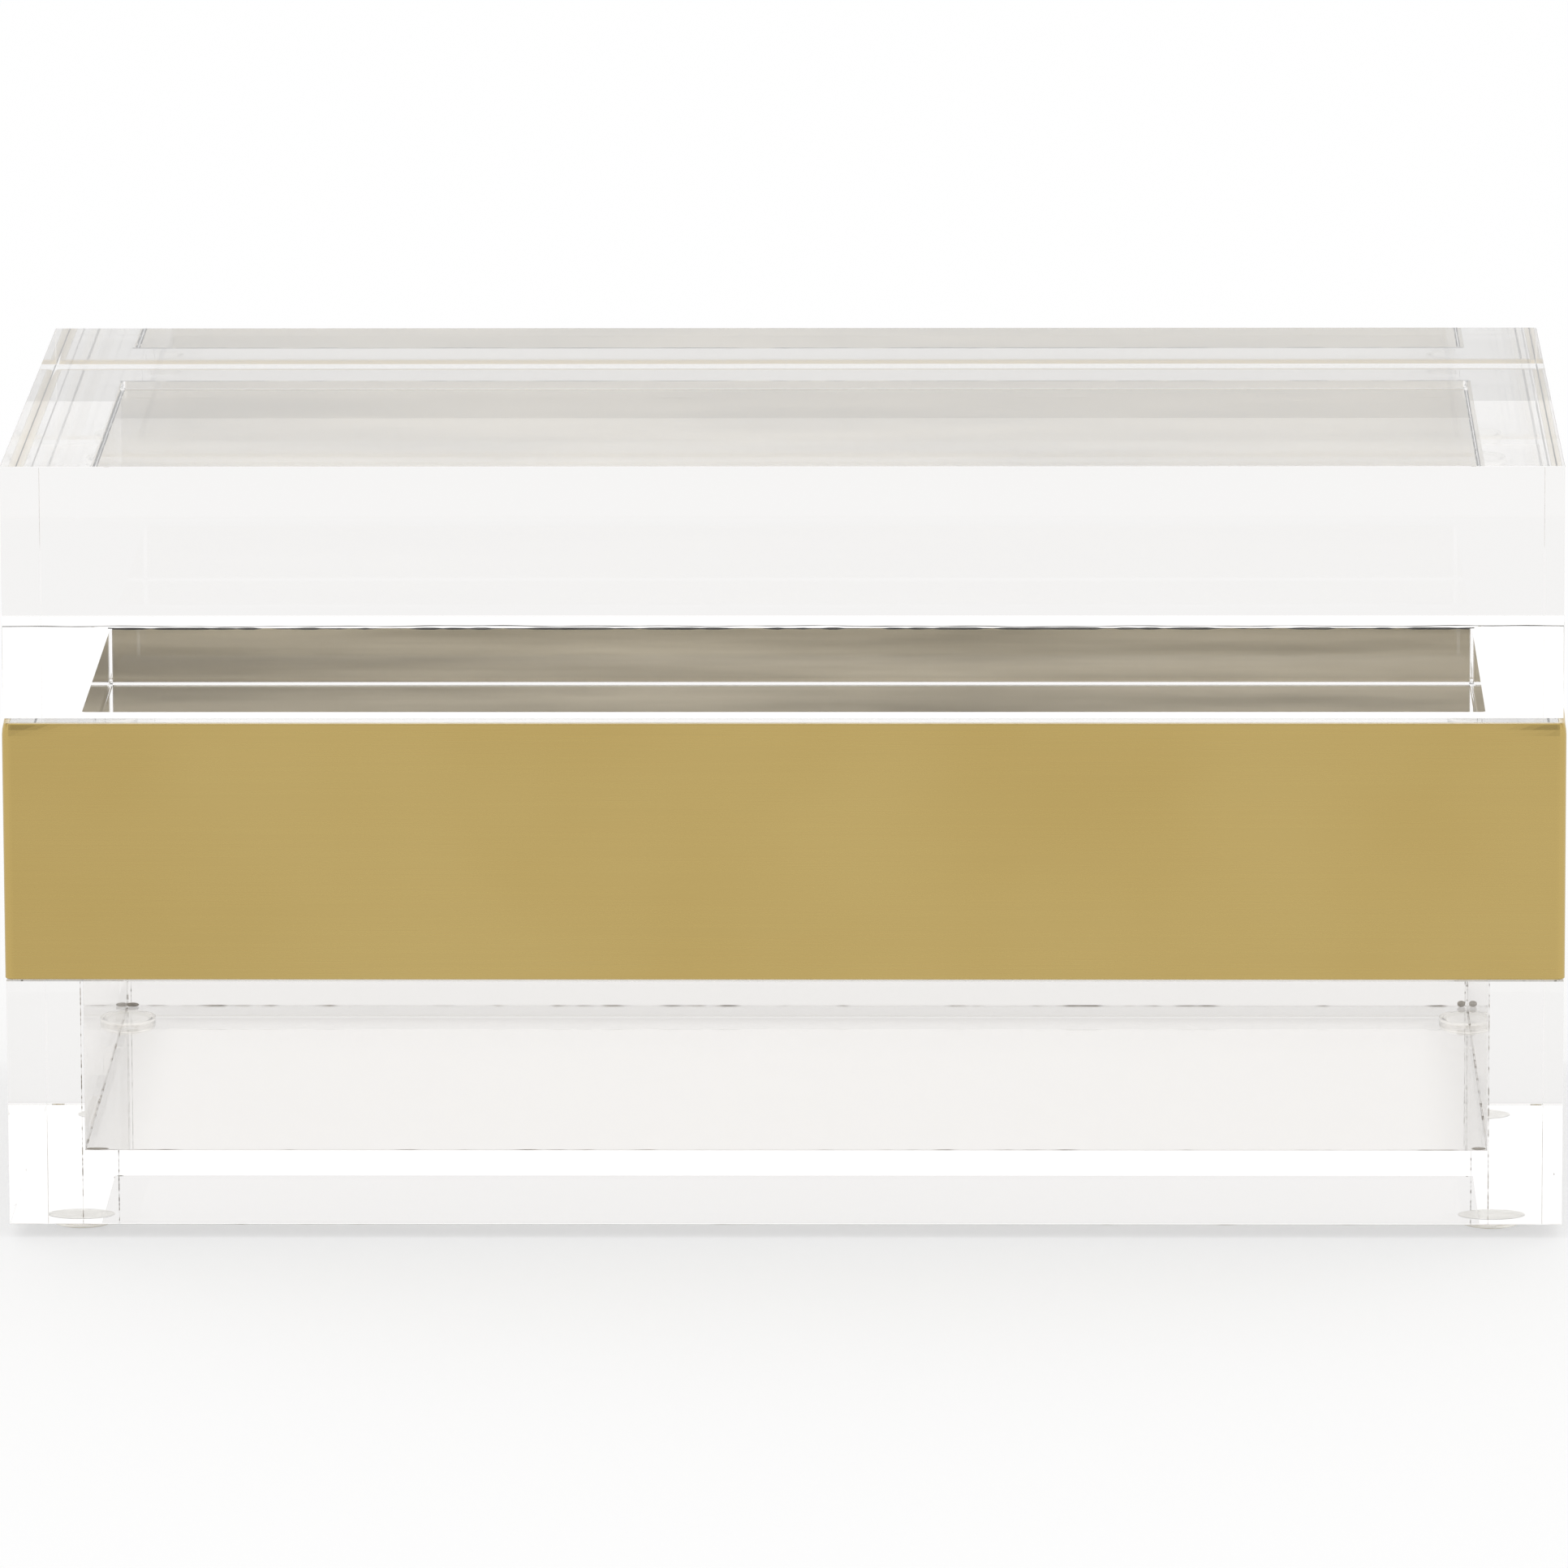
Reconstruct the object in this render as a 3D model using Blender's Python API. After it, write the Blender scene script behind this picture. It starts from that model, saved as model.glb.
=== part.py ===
"""A keepsake box of thick clear acrylic with a brass band, in metres, +Z up.

The origin is on the table under the middle of the box. The front faces -Y.
The lid has no hinge: its locating plug drops into the tray, and it lifts off along +Z.
The plug is bonded a little off the lid's middle, so the lid sits a little towards the back.
"""

import math

import bmesh
import bpy

# Acrylic sheet, cut to these outside sizes and polished
box_length = 0.254
box_depth = 0.135
wall_thickness = 0.012
wall_height = 0.0835
floor_thickness = 0.0106

# Lid: two slabs the size of the box, and a plug that fits inside the walls
top_slab_thickness = 0.0262
lower_slab_thickness = 0.0149
plug_thickness = 0.0094
plug_side_clearance = 0.0005
lid_rest_gap = 0.0003
lid_set_back = 0.0042

# Brass band, bent from sheet and set in a seat cut round the walls
band_height = 0.0425
band_thickness = 0.0012
band_stands_proud = 0.0002
band_corner_radius = 0.0015

# Clear bumper feet
foot_diameter = 0.011
foot_flat_diameter = 0.0085
foot_height = 0.002
foot_rounding = 0.0012
foot_from_edge = 0.0113

# Bonds, edges and cuts
bond_gap = 0.0003
polished_edge = 0.0004
cut_overrun = 0.004

corner_steps = 4
foot_sides = 28
foot_rounding_steps = 3

# Heights above the table, worked out from the sizes above
tray_bottom_z = foot_height + bond_gap
rim_z = tray_bottom_z + wall_height
floor_top_z = tray_bottom_z + floor_thickness
band_bottom_z = rim_z - band_height
band_ledge_z = band_bottom_z - bond_gap
lid_bottom_z = rim_z + lid_rest_gap
slab_bond_z = lid_bottom_z + lower_slab_thickness
lid_top_z = slab_bond_z + bond_gap + top_slab_thickness
plug_top_z = lid_bottom_z - bond_gap
plug_bottom_z = plug_top_z - plug_thickness

# Plan sizes
cavity_length = box_length - 2 * wall_thickness
cavity_depth = box_depth - 2 * wall_thickness
band_outer_length = box_length + 2 * band_stands_proud
band_outer_depth = box_depth + 2 * band_stands_proud
band_seat_depth = band_thickness - band_stands_proud + bond_gap

# Where the tray's middle and the lid's lie from front to back, so that the whole box is centred
tray_middle_y = -max(lid_set_back - band_stands_proud, 0) / 2
lid_middle_y = tray_middle_y + lid_set_back


def clear_scene():
    for item in list(bpy.data.objects):
        bpy.data.objects.remove(item, do_unlink=True)


def linear_colour(hex_colour):
    """The linear RGBA of an sRGB colour written as six hex digits."""
    channels = [int(hex_colour[i : i + 2], 16) / 255 for i in (0, 2, 4)]
    linear = [c / 12.92 if c <= 0.04045 else ((c + 0.055) / 1.055) ** 2.4 for c in channels]
    return (*linear, 1.0)


def make_material(name, hex_colour, roughness, metallic=0.0, transmission=0.0, ior=1.5):
    material = bpy.data.materials.new(name)
    material.use_nodes = True
    shader = material.node_tree.nodes["Principled BSDF"]
    shader.inputs["Base Color"].default_value = linear_colour(hex_colour)
    shader.inputs["Roughness"].default_value = roughness
    shader.inputs["Metallic"].default_value = metallic
    shader.inputs["Transmission Weight"].default_value = transmission
    shader.inputs["IOR"].default_value = ior
    material.diffuse_color = linear_colour(hex_colour)
    return material


def make_parent(name, height):
    parent = bpy.data.objects.new(name, None)
    bpy.context.collection.objects.link(parent)
    parent.location = (0, 0, height)
    return parent


def make_object(name, shape, material, parent=None, place=(0, 0, 0)):
    """Turns the bmesh into a named object. Its place is in the world, whatever its parent's height."""
    bmesh.ops.recalc_face_normals(shape, faces=shape.faces)
    mesh = bpy.data.meshes.new(name)
    shape.to_mesh(mesh)
    shape.free()
    made = bpy.data.objects.new(name, mesh)
    bpy.context.collection.objects.link(made)
    if material:
        mesh.materials.append(material)
    if parent:
        made.parent = parent
    base_z = parent.location.z if parent else 0
    made.location = (place[0], place[1], place[2] - base_z)
    return made


def make_sheet(name, low, high, material, parent):
    """A rectangular piece of sheet between two corners, with its origin at its middle."""
    shape = bmesh.new()
    bmesh.ops.create_cube(shape, size=1)
    sides = [b - a for a, b in zip(low, high)]
    bmesh.ops.scale(shape, vec=sides, verts=shape.verts)
    middle = [(a + b) / 2 for a, b in zip(low, high)]
    return make_object(name, shape, material, parent, middle)


def polish_edges(piece):
    """Breaks every edge by the small flat that polishing leaves."""
    bevel = piece.modifiers.new("polished_edges", "BEVEL")
    bevel.width = polished_edge
    bevel.segments = 1
    bevel.limit_method = "NONE"


def rounded_rectangle(length, depth, radius, steps):
    """Outline points, anticlockwise, with each corner an arc of this radius in this many steps."""
    centre_x = length / 2 - radius
    centre_y = depth / 2 - radius
    points = []
    for quarter, (side_x, side_y) in enumerate(((1, 1), (-1, 1), (-1, -1), (1, -1))):
        for step in range(steps + 1):
            angle = math.pi / 2 * (quarter + step / max(steps, 1))
            x = side_x * centre_x + radius * math.cos(angle)
            y = side_y * centre_y + radius * math.sin(angle)
            points.append((x, y))
    return points


def make_ring(name, outer, inner, bottom_z, top_z, material, parent):
    """An upright ring of sheet round the tray, between two outlines with the same number of points."""
    shape = bmesh.new()
    middle_z = (bottom_z + top_z) / 2
    half_height = (top_z - bottom_z) / 2
    loops = [
        [shape.verts.new((x, y, z)) for x, y in outline]
        for outline, z in (
            (outer, -half_height),
            (outer, half_height),
            (inner, half_height),
            (inner, -half_height),
        )
    ]
    for lower, upper in zip(loops, loops[1:] + loops[:1]):
        for i in range(len(lower)):
            j = (i + 1) % len(lower)
            shape.faces.new((lower[i], lower[j], upper[j], upper[i]))
    return make_object(name, shape, material, parent, (0, tray_middle_y, middle_z))


def make_band_seat_cutter():
    """A ring round the box that takes the band's seat out of whichever wall it is cut from."""
    outer = rounded_rectangle(box_length + 2 * cut_overrun, box_depth + 2 * cut_overrun, 0, 0)
    inner = rounded_rectangle(box_length - 2 * band_seat_depth, box_depth - 2 * band_seat_depth, 0, 0)
    cutter = make_ring("band_seat_cutter", outer, inner, band_ledge_z, rim_z + cut_overrun, None, None)
    cutter.hide_render = True
    cutter.display_type = "WIRE"
    return cutter


def cut_band_seat(wall, cutter):
    cut = wall.modifiers.new("band_seat", "BOOLEAN")
    cut.operation = "DIFFERENCE"
    cut.solver = "EXACT"
    cut.object = cutter


def make_walls(material, parent):
    """Side walls the full depth of the box, and the front and back walls bonded between them."""
    cutter = make_band_seat_cutter()
    half_length = box_length / 2
    half_depth = box_depth / 2
    for side, name in ((-1, "wall_left"), (1, "wall_right")):
        ends = sorted((side * half_length, side * (half_length - wall_thickness)))
        low = (ends[0], tray_middle_y - half_depth, tray_bottom_z)
        high = (ends[1], tray_middle_y + half_depth, rim_z)
        wall = make_sheet(name, low, high, material, parent)
        polish_edges(wall)
        cut_band_seat(wall, cutter)
    reach = cavity_length / 2 - bond_gap
    for side, name in ((-1, "wall_front"), (1, "wall_back")):
        faces = sorted((side * half_depth, side * (half_depth - wall_thickness)))
        low = (-reach, tray_middle_y + faces[0], tray_bottom_z)
        high = (reach, tray_middle_y + faces[1], rim_z)
        cut_band_seat(make_sheet(name, low, high, material, parent), cutter)


def make_floor(material, parent):
    reach_x = cavity_length / 2 - bond_gap
    reach_y = cavity_depth / 2 - bond_gap
    low = (-reach_x, tray_middle_y - reach_y, tray_bottom_z)
    high = (reach_x, tray_middle_y + reach_y, floor_top_z)
    make_sheet("floor_panel", low, high, material, parent)


def make_band(material, parent):
    inner_radius = max(band_corner_radius - band_thickness, 0)
    outer = rounded_rectangle(band_outer_length, band_outer_depth, band_corner_radius, corner_steps)
    inner_length = band_outer_length - 2 * band_thickness
    inner_depth = band_outer_depth - 2 * band_thickness
    inner = rounded_rectangle(inner_length, inner_depth, inner_radius, corner_steps)
    make_ring("brass_band", outer, inner, band_bottom_z, rim_z, material, parent)


def foot_profile():
    """Radius and height, from the flat under the foot round its edge to its glued top."""
    rise = min(foot_rounding, foot_height)
    run = (foot_diameter - foot_flat_diameter) / 2
    points = []
    for step in range(foot_rounding_steps + 1):
        angle = math.pi / 2 * step / foot_rounding_steps
        radius = foot_flat_diameter / 2 + run * math.sin(angle)
        points.append((radius, rise * (1 - math.cos(angle))))
    points.append((foot_diameter / 2, foot_height))
    return points


def make_foot_shape():
    shape = bmesh.new()
    rings = []
    for radius, height in foot_profile():
        angles = [2 * math.pi * i / foot_sides for i in range(foot_sides)]
        rings.append([shape.verts.new((radius * math.cos(a), radius * math.sin(a), height)) for a in angles])
    for lower, upper in zip(rings, rings[1:]):
        for i in range(foot_sides):
            j = (i + 1) % foot_sides
            shape.faces.new((lower[i], lower[j], upper[j], upper[i]))
    shape.faces.new(list(reversed(rings[0])))
    shape.faces.new(rings[-1])
    return shape


def make_feet(material, parent):
    """One foot near each corner, its flat on the table."""
    x = box_length / 2 - foot_from_edge
    y = box_depth / 2 - foot_from_edge
    for row, side_y in (("front", -1), ("back", 1)):
        for column, side_x in (("left", -1), ("right", 1)):
            name = f"foot_{row}_{column}"
            place = (side_x * x, tray_middle_y + side_y * y, 0)
            foot = make_object(name, make_foot_shape(), material, parent, place)
            foot.data.shade_smooth()
            foot.data.set_sharp_from_angle(angle=math.radians(40))


def make_lid(material, parent):
    """The slabs lie about the lid's middle, and the plug about the tray's, since it fits the tray."""
    half_length = box_length / 2
    front_y = lid_middle_y - box_depth / 2
    back_y = lid_middle_y + box_depth / 2
    top = make_sheet(
        "lid_top_slab",
        (-half_length, front_y, slab_bond_z + bond_gap),
        (half_length, back_y, lid_top_z),
        material,
        parent,
    )
    lower = make_sheet(
        "lid_lower_slab",
        (-half_length, front_y, lid_bottom_z),
        (half_length, back_y, slab_bond_z),
        material,
        parent,
    )
    plug_x = cavity_length / 2 - plug_side_clearance
    plug_y = cavity_depth / 2 - plug_side_clearance
    plug = make_sheet(
        "lid_locating_plug",
        (-plug_x, tray_middle_y - plug_y, plug_bottom_z),
        (plug_x, tray_middle_y + plug_y, plug_top_z),
        material,
        parent,
    )
    for piece in (top, lower, plug):
        polish_edges(piece)


def main():
    clear_scene()
    acrylic = make_material("clear_acrylic", "F3F3F1", roughness=0.02, transmission=1.0, ior=1.49)
    brass = make_material("brushed_brass", "BEA666", roughness=0.28, metallic=1.0)
    silicone = make_material("clear_silicone", "ECECE8", roughness=0.2, transmission=0.9, ior=1.41)
    tray = make_parent("tray", 0)
    lid = make_parent("lid_lift", lid_bottom_z)
    make_walls(acrylic, tray)
    make_floor(acrylic, tray)
    make_band(brass, tray)
    make_feet(silicone, tray)
    make_lid(acrylic, lid)


main()
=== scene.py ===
# %% [markdown]
# # A keepsake box of thick clear acrylic
#
# The box is a solid acrylic lid on an acrylic tray, with a brushed brass band round the tray's rim.
# Nearly everything the eye sees is refraction, so the lid and the tray are each made as ONE closed body
# of plastic. Cement joins acrylic sheets with no air between them, and light must cross the joints freely.
# If each sheet were its own mesh, every joint would act as a mirror.

# %% Load the frame
import math

import bpy
import numpy as np
from mathutils import Matrix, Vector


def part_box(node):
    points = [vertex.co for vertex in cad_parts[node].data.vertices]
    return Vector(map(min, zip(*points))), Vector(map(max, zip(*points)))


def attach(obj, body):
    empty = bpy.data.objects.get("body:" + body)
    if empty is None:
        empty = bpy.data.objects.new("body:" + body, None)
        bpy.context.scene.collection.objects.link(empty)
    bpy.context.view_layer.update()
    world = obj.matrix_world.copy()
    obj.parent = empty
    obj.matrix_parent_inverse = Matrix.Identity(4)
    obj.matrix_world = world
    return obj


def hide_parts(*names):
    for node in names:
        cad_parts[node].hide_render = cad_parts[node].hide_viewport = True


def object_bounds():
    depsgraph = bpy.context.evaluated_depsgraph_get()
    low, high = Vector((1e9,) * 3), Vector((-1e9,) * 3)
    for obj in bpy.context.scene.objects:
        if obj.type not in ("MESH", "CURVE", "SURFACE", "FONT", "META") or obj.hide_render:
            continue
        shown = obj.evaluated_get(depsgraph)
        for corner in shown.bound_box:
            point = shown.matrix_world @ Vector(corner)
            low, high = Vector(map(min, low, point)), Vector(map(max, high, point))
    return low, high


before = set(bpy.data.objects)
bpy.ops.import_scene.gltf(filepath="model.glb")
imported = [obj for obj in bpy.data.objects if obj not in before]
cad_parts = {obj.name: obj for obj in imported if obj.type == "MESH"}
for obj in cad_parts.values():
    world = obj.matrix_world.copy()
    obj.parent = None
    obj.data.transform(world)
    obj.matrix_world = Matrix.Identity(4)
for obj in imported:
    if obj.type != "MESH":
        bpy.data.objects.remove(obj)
cad_low, cad_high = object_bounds()
MM = 0.001
cad_size = [round((b - a) / MM, 1) for a, b in zip(cad_low, cad_high)]
print("frame of", len(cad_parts), "nodes, mm:", cad_size)

# %% [markdown]
# ## Camera
#
# The photograph was taken with a very long lens, from a little above and a hair to the right of the
# middle. Its place, its aim and its focal length come from a fit of the box's corners to the picture. A
# closer camera with a shorter lens would fill the frame as well, but the far edges of the box would look
# shorter. A camera in Blender looks down its own -Z, so it is raised to the horizon less its pitch and then
# turned to the left by its heading. Its tilt is a roll about its own line of sight.

# %% Camera
CAMERA_PLACE = (0.0407, -2.324, 0.5316)
CAMERA_HEADING = 1.032
CAMERA_PITCH = 11.427
CAMERA_TILT = -0.206
FOCAL_LENGTH = 324.86
SENSOR_WIDTH = 36.0
FAR_CLIP = 100.0


def add_camera():
    """The camera's rotation is its heading times its pitch times its tilt, each about one axis."""
    data = bpy.data.cameras.new("camera")
    data.lens = FOCAL_LENGTH
    data.sensor_width = SENSOR_WIDTH
    data.clip_end = FAR_CLIP
    camera = bpy.data.objects.new("camera", data)
    bpy.context.scene.collection.objects.link(camera)
    camera.location = CAMERA_PLACE
    heading = Matrix.Rotation(math.radians(CAMERA_HEADING), 4, "Z")
    pitch = Matrix.Rotation(math.radians(90 - CAMERA_PITCH), 4, "X")
    tilt = Matrix.Rotation(math.radians(CAMERA_TILT), 4, "Z")
    camera.rotation_euler = (heading @ pitch @ tilt).to_euler()
    bpy.context.scene.camera = camera
    return camera


print("camera at", tuple(round(v, 3) for v in add_camera().location))

# %% [markdown]
# ## Colours and nodes
#
# Hex colours are sRGB, which is coded for screens. Shaders add light up, so they need linear numbers.
# One small function turns one into the other. Another adds any shader node, sets its properties, fills
# or links its inputs by name and hands back its outputs, which keeps each material readable as a recipe.
#
# A Mix node holds the sockets of all its types at once. Numbers are mixed through its inputs 2 and 3 and
# its output 0, and colours through its inputs 6 and 7 and its output 2. Where its input 0 is 0 it gives
# the first of the two, and where it is 1 the second. A smooth Map Range makes such shares: it rises from
# 0 to 1 between two values.

# %% Colours and nodes
MULTIPLY = {"operation": "MULTIPLY"}
MAXIMUM = {"operation": "MAXIMUM"}
ABSOLUTE = {"operation": "ABSOLUTE"}
ADD = {"operation": "ADD"}
SMOOTH = {"interpolation_type": "SMOOTHSTEP"}
NUMBERS = {"data_type": "FLOAT"}
COLOURS = {"data_type": "RGBA"}
WHITE = "FFFFFF"


def linear(hex_colour):
    """The linear RGBA of an sRGB colour written as six hex digits. A share up to 0.04045 is divided by
    12.92. A larger one has 0.055 added, is divided by 1.055 and is raised to the power of 2.4."""
    srgb = np.array([int(hex_colour[i : i + 2], 16) for i in (0, 2, 4)]) / 255
    rgb = np.where(srgb <= 0.04045, srgb / 12.92, ((srgb + 0.055) / 1.055) ** 2.4)
    return (*rgb.tolist(), 1.0)


def node(tree, kind, settings=None, **inputs):
    """Adds a node, sets its properties, fills or links its inputs, and returns its outputs. An input is
    named with _ for each space, or i0, i1 and so on where several have one name."""
    made = tree.nodes.new(kind)
    for name, value in (settings or {}).items():
        setattr(made, name, value)
    for name, value in inputs.items():
        key = int(name[1:]) if name[0] == "i" and name[1:].isdigit() else name.replace("_", " ")
        socket = made.inputs[key]
        if isinstance(value, bpy.types.NodeSocket):
            tree.links.new(value, socket)
        else:
            socket.default_value = value
    return made.outputs


def new_material(name):
    """An empty recipe: the material, its tree and its shader."""
    material = bpy.data.materials.new(name)
    material.use_nodes = True
    tree = material.node_tree
    return material, tree, tree.nodes["Principled BSDF"]


print("white is", linear(WHITE))

# %% [markdown]
# ## The floor
#
# Clear plastic has no look of its own. It shows the room, bent and mirrored, so the room is the most
# important material here. The box seems to stand on a pale sweep of matt card or paper.
#
# The floor is matt and takes a shadow. It also glows a little to the camera and to rays that come through
# plastic or off metal, so that both show the same white ground. Under the walls it glows less, because
# the lid and the brass keep light away from there. The levels were set by trial, until the greys in the
# plastic came near those of the photograph.

# %% The floor
FLOOR_HALF_SIZE = 30.0
FLOOR_COLOUR = "B3B3B3"
FLOOR_COLOUR_IN_PLASTIC = "6C6C6C"
FLOOR_GLOW = 0.55
FLOOR_GLOW_IN_PLASTIC = 0.8
FLOOR_GLOW_UNDER_TRAY = 0.85
FLOOR_GLOW_UNDER_WALLS = 0.62
# From where to where each share grows, in half sizes of the box
TRAY_TO_WALLS = {"From_Min": 0.82, "From_Max": 0.92}
WALLS_TO_OUTSIDE = {"From_Min": 1.0, "From_Max": 1.15}


def glow_by_place(tree, place):
    """The glow the plastic shows: one level under the open tray, a lower one under its walls, and a third
    away from the box. How far out a place lies is the larger of its x and its y, each as a share of the
    box's half size."""
    axes = node(tree, "ShaderNodeSeparateXYZ", Vector=place)
    shares = []
    for axis, half_size in (("X", cad_high.x), ("Y", cad_high.y)):
        share = node(tree, "ShaderNodeMath", MULTIPLY, i0=axes[axis], i1=1 / half_size)[0]
        shares.append(node(tree, "ShaderNodeMath", ABSOLUTE, i0=share)[0])
    out = node(tree, "ShaderNodeMath", MAXIMUM, i0=shares[0], i1=shares[1])[0]
    walls = node(tree, "ShaderNodeMapRange", SMOOTH, Value=out, **TRAY_TO_WALLS)[0]
    outside = node(tree, "ShaderNodeMapRange", SMOOTH, Value=out, **WALLS_TO_OUTSIDE)[0]
    levels = {"i2": FLOOR_GLOW_UNDER_TRAY, "i3": FLOOR_GLOW_UNDER_WALLS}
    under = node(tree, "ShaderNodeMix", NUMBERS, i0=walls, **levels)[0]
    return node(tree, "ShaderNodeMix", NUMBERS, i0=outside, i2=under, i3=FLOOR_GLOW_IN_PLASTIC)[0]


def matt_white_sweep():
    """Matt white card: no gloss at all, so the only thing it shows is light and shadow."""
    material, tree, shader = new_material("matt_white_sweep")
    path = node(tree, "ShaderNodeLightPath")
    bent, mirrored = path["Is Transmission Ray"], path["Is Glossy Ray"]
    in_plastic = node(tree, "ShaderNodeMath", MAXIMUM, i0=bent, i1=mirrored)[0]
    place = node(tree, "ShaderNodeTexCoord")["Object"]
    shown = node(tree, "ShaderNodeMath", MULTIPLY, i0=in_plastic, i1=glow_by_place(tree, place))[0]
    seen = node(tree, "ShaderNodeMath", MULTIPLY, i0=path["Is Camera Ray"], i1=FLOOR_GLOW)[0]
    glow = node(tree, "ShaderNodeMath", MAXIMUM, i0=seen, i1=shown)[0]
    tree.links.new(glow, shader.inputs["Emission Strength"])
    greys = {"i6": linear(FLOOR_COLOUR), "i7": linear(FLOOR_COLOUR_IN_PLASTIC)}
    colour = node(tree, "ShaderNodeMix", COLOURS, i0=in_plastic, **greys)[2]
    tree.links.new(colour, shader.inputs["Base Color"])
    shader.inputs["Roughness"].default_value = 1.0
    shader.inputs["Specular IOR Level"].default_value = 0.0
    shader.inputs["Emission Color"].default_value = linear(WHITE)
    return material


def add_floor():
    """A flat square at height 0, far larger than the view."""
    half = FLOOR_HALF_SIZE
    corners = [(-half, -half, 0), (half, -half, 0), (half, half, 0), (-half, half, 0)]
    mesh = bpy.data.meshes.new("floor")
    mesh.from_pydata(corners, [], [(0, 1, 2, 3)])
    mesh.materials.append(matt_white_sweep())
    floor = bpy.data.objects.new("floor", mesh)
    bpy.context.scene.collection.objects.link(floor)
    return floor


print("floor of", add_floor().dimensions.x, "m")

# %% [markdown]
# ## The surroundings
#
# The far side of the sweep is made brighter than the side towards the camera, as is usual when a product
# is shot against white. The lid's top suggests it: its back half mirrors something bright, and a dark
# strip shows where a second reflection turns to something dimmer. Lamps could give that too, but the
# plastic would show each lamp's edges. A world whose brightness goes by direction alone has none, and it
# holds from every angle.
#
# Light that enters a thick block is mirrored inside it many times before it finds a way out. Cutting its
# path short leaves black corners, so the paths are allowed forty turns.

# %% The surroundings
WORLD_OVERHEAD = 1.0
WORLD_FAR_SIDE = 1.09
WORLD_NEAR_SIDE = 0.5
WORLD_TO_CAMERA = 1.0
# From where to where each share grows, in the Y or the Z of a direction that is 1 long
FAR_WAY = {"From_Min": 0.2, "From_Max": 0.7}
FAR_AND_LOW = {"From_Min": 0.75, "From_Max": 0.35}
NEAR_WAY = {"From_Min": -0.75, "From_Max": -0.95}
NEAR_AND_LOW = {"From_Min": 0.6, "From_Max": 0.35}
MIRRORINGS = 40


def side_share(tree, axes, way, low):
    """How far a direction belongs to one side: its share along Y times its share of being low."""
    along = node(tree, "ShaderNodeMapRange", SMOOTH, Value=axes["Y"], **way)[0]
    down = node(tree, "ShaderNodeMapRange", SMOOTH, Value=axes["Z"], **low)[0]
    return node(tree, "ShaderNodeMath", MULTIPLY, i0=along, i1=down)[0]


def add_world():
    """White to the camera. To everything else: bright low on the far side (+Y), dim low on the near side
    (-Y), and plain white overhead."""
    world = bpy.data.worlds.new("studio")
    world.use_nodes = True
    tree = world.node_tree
    direction = node(tree, "ShaderNodeTexCoord")["Generated"]
    axes = node(tree, "ShaderNodeSeparateXYZ", Vector=direction)
    far = side_share(tree, axes, FAR_WAY, FAR_AND_LOW)
    near = side_share(tree, axes, NEAR_WAY, NEAR_AND_LOW)
    seen = node(tree, "ShaderNodeLightPath")["Is Camera Ray"]
    level = node(tree, "ShaderNodeMix", NUMBERS, i0=far, i2=WORLD_OVERHEAD, i3=WORLD_FAR_SIDE)[0]
    level = node(tree, "ShaderNodeMix", NUMBERS, i0=near, i2=level, i3=WORLD_NEAR_SIDE)[0]
    level = node(tree, "ShaderNodeMix", NUMBERS, i0=seen, i2=level, i3=WORLD_TO_CAMERA)[0]
    background = tree.nodes["Background"]
    tree.links.new(level, background.inputs["Strength"])
    background.inputs["Color"].default_value = linear(WHITE)
    bpy.context.scene.world = world


add_world()
bpy.context.scene.view_settings.view_transform = "Standard"
paths = bpy.context.scene.cycles
paths.max_bounces = MIRRORINGS
paths.glossy_bounces = MIRRORINGS
paths.transmission_bounces = MIRRORINGS
print("surroundings: far side", WORLD_FAR_SIDE, "near side", WORLD_NEAR_SIDE)

# %% [markdown]
# ## A profile carried round a rectangle
#
# Every rigid piece of this box is the same kind of shape: a cross-section carried round a rectangle with
# slightly rounded corners. A picture frame is made that way from one moulding. It could be modelled with
# cubes and bevels. One grid of points gives more control: each row of the grid is one height of the
# cross-section, and each column is one place on the way round.

# %% A profile carried round a rectangle
CORNER_STEPS = 6
SMALLEST_RADIUS = 0.03 * MM
QUARTER_TURN = math.pi / 2


def rectangle_loop(half_x, half_y, radius, side_steps):
    """Points round a rectangle, from its +X +Y corner anticlockwise. A corner is a quarter circle:
    its centre plus the radius times the cosine and sine of an angle that grows by a quarter turn.
    A side is an even walk from the end of one corner to the start of the next."""
    signs = np.array([(1, 1), (-1, 1), (-1, -1), (1, -1)])
    centres = signs * np.array([half_x - radius, half_y - radius])
    angles = np.linspace(0, 1, CORNER_STEPS + 1)[None, :] + np.arange(4)[:, None]
    angles = angles * QUARTER_TURN
    arcs = centres[:, None, :] + radius * np.stack([np.cos(angles), np.sin(angles)], -1)
    share = np.linspace(0, 1, side_steps + 1)[1:-1, None]
    start = arcs[:, -1:, :]
    end = np.roll(arcs, -1, axis=0)[:, :1, :]
    sides = start + (end - start) * share
    return np.concatenate([arcs, sides], axis=1).reshape(-1, 2)


def carry_round(profile, low, high, side_steps=1):
    """The grid of points, rows x columns x 3, about the middle of the box from low to high. A profile
    row is an inset from the sides of that box, a height and a corner radius. It gives one loop, moved to
    the middle and raised to its height."""
    half = (high - low) / 2
    middle = (high + low) / 2
    loops = []
    for inset, _, radius in profile:
        loops.append(rectangle_loop(half.x - inset, half.y - inset, radius, side_steps))
    plan = np.array(loops) + np.array(middle.xy)
    heights = np.array([z for _, z, _ in profile])
    return np.dstack([plan, np.broadcast_to(heights[:, None], plan.shape[:2])])


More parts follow.
